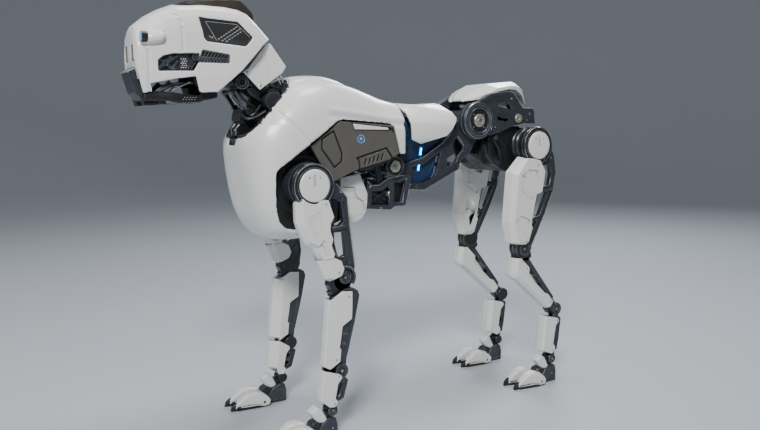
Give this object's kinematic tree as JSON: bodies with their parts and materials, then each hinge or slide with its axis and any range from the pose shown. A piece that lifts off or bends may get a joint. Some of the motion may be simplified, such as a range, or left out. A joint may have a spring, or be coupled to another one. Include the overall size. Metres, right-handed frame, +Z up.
{
  "type": "quadruped robot dog",
  "caption": "Walking robot dog: white moulded covers on dark alloy link frames, jointed head, jaw, neck, spine, four jointed legs and two-toed feet.",
  "frame": {"origin": "middle of the footprint box on the floor the feet stand on", "axes": "+Z up, +Y towards the tail end (the head is at -Y), +X towards the robot's left side"},
  "size_m": [0.352, 1.111, 0.969],
  "materials": {
    "white_shell": "satin warm white moulded plastic",
    "taupe_panel": "satin warm grey",
    "dark_alloy": "dark blue-grey anodised, bright worn edges",
    "black_plastic": "black moulded",
    "smoked_glass": "dark smoked",
    "core_casing": "dark blue casing with status lights"
  },
  "bodies": {
    "chest": {"chest_shell": "white_shell", "chest_frame": "dark_alloy", "side_panel_left": "taupe_panel", "side_panel_right": "taupe_panel", "belly_fairing": "white_shell", "belly_guard": "dark_alloy"},
    "waist": {"waist_truss": "dark_alloy", "waist_core": "core_casing", "waist_shell": "white_shell"},
    "pelvis": {"pelvis_frame": "dark_alloy", "rump_cover": "white_shell"},
    "neck": {"neck_frame": "dark_alloy", "neck_plate": "white_shell", "neck_rods": "black_plastic"},
    "head": {"head_shell": "white_shell", "head_core": "black_plastic", "head_crest": "black_plastic", "head_window_left": "smoked_glass", "head_window_right": "smoked_glass"},
    "jaw": {"jaw": "black_plastic"},
    "front_left_upper": {"front_left_upper_frame": "dark_alloy", "front_left_upper_cover": "white_shell", "front_left_hub_cap": "white_shell"},
    "front_left_lower": {"front_left_lower_frame": "dark_alloy", "front_left_lower_cover": "white_shell"},
    "front_left_pastern": {"front_left_pastern_frame": "dark_alloy", "front_left_pastern_cover": "white_shell"},
    "front_left_foot": {"front_left_foot_frame": "dark_alloy"},
    "front_left_toes": {"front_left_toe_outer": "white_shell", "front_left_toe_inner": "white_shell"},
    "front_right_upper": {"front_right_upper_frame": "dark_alloy", "front_right_upper_cover": "white_shell", "front_right_hub_cap": "white_shell"},
    "front_right_lower": {"front_right_lower_frame": "dark_alloy", "front_right_lower_cover": "white_shell"},
    "front_right_pastern": {"front_right_pastern_frame": "dark_alloy", "front_right_pastern_cover": "white_shell"},
    "front_right_foot": {"front_right_foot_frame": "dark_alloy"},
    "front_right_toes": {"front_right_toe_outer": "white_shell", "front_right_toe_inner": "white_shell"},
    "rear_left_upper": {"rear_left_upper_frame": "dark_alloy", "rear_left_upper_cover": "white_shell", "rear_left_hub_cap": "white_shell"},
    "rear_left_lower": {"rear_left_lower_frame": "dark_alloy", "rear_left_lower_cover": "white_shell"},
    "rear_left_pastern": {"rear_left_pastern_frame": "dark_alloy", "rear_left_pastern_cover": "white_shell"},
    "rear_left_foot": {"rear_left_foot_frame": "dark_alloy"},
    "rear_left_toes": {"rear_left_toe_outer": "white_shell", "rear_left_toe_inner": "white_shell"},
    "rear_right_upper": {"rear_right_upper_frame": "dark_alloy", "rear_right_upper_cover": "white_shell", "rear_right_hub_cap": "white_shell"},
    "rear_right_lower": {"rear_right_lower_frame": "dark_alloy", "rear_right_lower_cover": "white_shell"},
    "rear_right_pastern": {"rear_right_pastern_frame": "dark_alloy", "rear_right_pastern_cover": "white_shell"},
    "rear_right_foot": {"rear_right_foot_frame": "dark_alloy"},
    "rear_right_toes": {"rear_right_toe_outer": "white_shell", "rear_right_toe_inner": "white_shell"}
  },
  "joints": [
    {"name": "spine_front_pitch", "type": "hinge", "parent": "chest", "child": "waist", "pos_m": [0, 0.0395, 0.599], "axis": [1, 0, 0], "range_deg": [-4, 4]},
    {"name": "spine_rear_pitch", "type": "hinge", "parent": "waist", "child": "pelvis", "pos_m": [0, 0.2885, 0.706], "axis": [1, 0, 0], "range_deg": [-6, 6]},
    {"name": "neck_pitch", "type": "hinge", "parent": "chest", "child": "neck", "pos_m": [0, -0.2475, 0.75], "axis": [1, 0, 0], "range_deg": [-5, 20]},
    {"name": "head_pitch", "type": "hinge", "parent": "neck", "child": "head", "pos_m": [0, -0.3185, 0.79], "axis": [1, 0, 0], "range_deg": [-12, 24]},
    {"name": "jaw_open", "type": "hinge", "parent": "head", "child": "jaw", "pos_m": [0, -0.3995, 0.786], "axis": [1, 0, 0], "range_deg": [0, 16]},
    {"name": "front_left_shoulder", "type": "hinge", "parent": "chest", "child": "front_left_upper", "pos_m": [0.138, -0.2055, 0.568], "axis": [1, 0, 0], "range_deg": [-30, 30]},
    {"name": "front_left_elbow", "type": "hinge", "parent": "front_left_upper", "child": "front_left_lower", "pos_m": [0.138, -0.1315, 0.36], "axis": [1, 0, 0], "range_deg": [-25, 25]},
    {"name": "front_left_wrist", "type": "hinge", "parent": "front_left_lower", "child": "front_left_pastern", "pos_m": [0.138, -0.1425, 0.148], "axis": [1, 0, 0], "range_deg": [-5, 45]},
    {"name": "front_left_ankle", "type": "hinge", "parent": "front_left_pastern", "child": "front_left_foot", "pos_m": [0.138, -0.1665, 0.06], "axis": [1, 0, 0], "range_deg": [-25, 25]},
    {"name": "front_left_toes", "type": "hinge", "parent": "front_left_foot", "child": "front_left_toes", "pos_m": [0.138, -0.2195, 0.012], "axis": [1, 0, 0], "range_deg": [-20, 20]},
    {"name": "front_right_shoulder", "type": "hinge", "parent": "chest", "child": "front_right_upper", "pos_m": [-0.138, -0.2055, 0.568], "axis": [1, 0, 0], "range_deg": [-30, 30]},
    {"name": "front_right_elbow", "type": "hinge", "parent": "front_right_upper", "child": "front_right_lower", "pos_m": [-0.138, -0.1315, 0.36], "axis": [1, 0, 0], "range_deg": [-25, 25]},
    {"name": "front_right_wrist", "type": "hinge", "parent": "front_right_lower", "child": "front_right_pastern", "pos_m": [-0.138, -0.1425, 0.148], "axis": [1, 0, 0], "range_deg": [-5, 45]},
    {"name": "front_right_ankle", "type": "hinge", "parent": "front_right_pastern", "child": "front_right_foot", "pos_m": [-0.138, -0.1665, 0.06], "axis": [1, 0, 0], "range_deg": [-25, 25]},
    {"name": "front_right_toes", "type": "hinge", "parent": "front_right_foot", "child": "front_right_toes", "pos_m": [-0.138, -0.2195, 0.012], "axis": [1, 0, 0], "range_deg": [-20, 20]},
    {"name": "rear_left_hip", "type": "hinge", "parent": "pelvis", "child": "rear_left_upper", "pos_m": [0.114, 0.4575, 0.641], "axis": [1, 0, 0], "range_deg": [-30, 30]},
    {"name": "rear_left_knee", "type": "hinge", "parent": "rear_left_upper", "child": "rear_left_lower", "pos_m": [0.114, 0.4145, 0.374], "axis": [1, 0, 0], "range_deg": [-22, 40]},
    {"name": "rear_left_hock", "type": "hinge", "parent": "rear_left_lower", "child": "rear_left_pastern", "pos_m": [0.114, 0.5345, 0.197], "axis": [1, 0, 0], "range_deg": [-18, 30]},
    {"name": "rear_left_ankle", "type": "hinge", "parent": "rear_left_pastern", "child": "rear_left_foot", "pos_m": [0.114, 0.5225, 0.06], "axis": [1, 0, 0], "range_deg": [-25, 25]},
    {"name": "rear_left_toes", "type": "hinge", "parent": "rear_left_foot", "child": "rear_left_toes", "pos_m": [0.114, 0.4695, 0.012], "axis": [1, 0, 0], "range_deg": [-20, 20]},
    {"name": "rear_right_hip", "type": "hinge", "parent": "pelvis", "child": "rear_right_upper", "pos_m": [-0.114, 0.4575, 0.641], "axis": [1, 0, 0], "range_deg": [-30, 30]},
    {"name": "rear_right_knee", "type": "hinge", "parent": "rear_right_upper", "child": "rear_right_lower", "pos_m": [-0.114, 0.4145, 0.374], "axis": [1, 0, 0], "range_deg": [-22, 40]},
    {"name": "rear_right_hock", "type": "hinge", "parent": "rear_right_lower", "child": "rear_right_pastern", "pos_m": [-0.114, 0.5345, 0.197], "axis": [1, 0, 0], "range_deg": [-18, 30]},
    {"name": "rear_right_ankle", "type": "hinge", "parent": "rear_right_pastern", "child": "rear_right_foot", "pos_m": [-0.114, 0.5225, 0.06], "axis": [1, 0, 0], "range_deg": [-25, 25]},
    {"name": "rear_right_toes", "type": "hinge", "parent": "rear_right_foot", "child": "rear_right_toes", "pos_m": [-0.114, 0.4695, 0.012], "axis": [1, 0, 0], "range_deg": [-20, 20]}
  ]
}
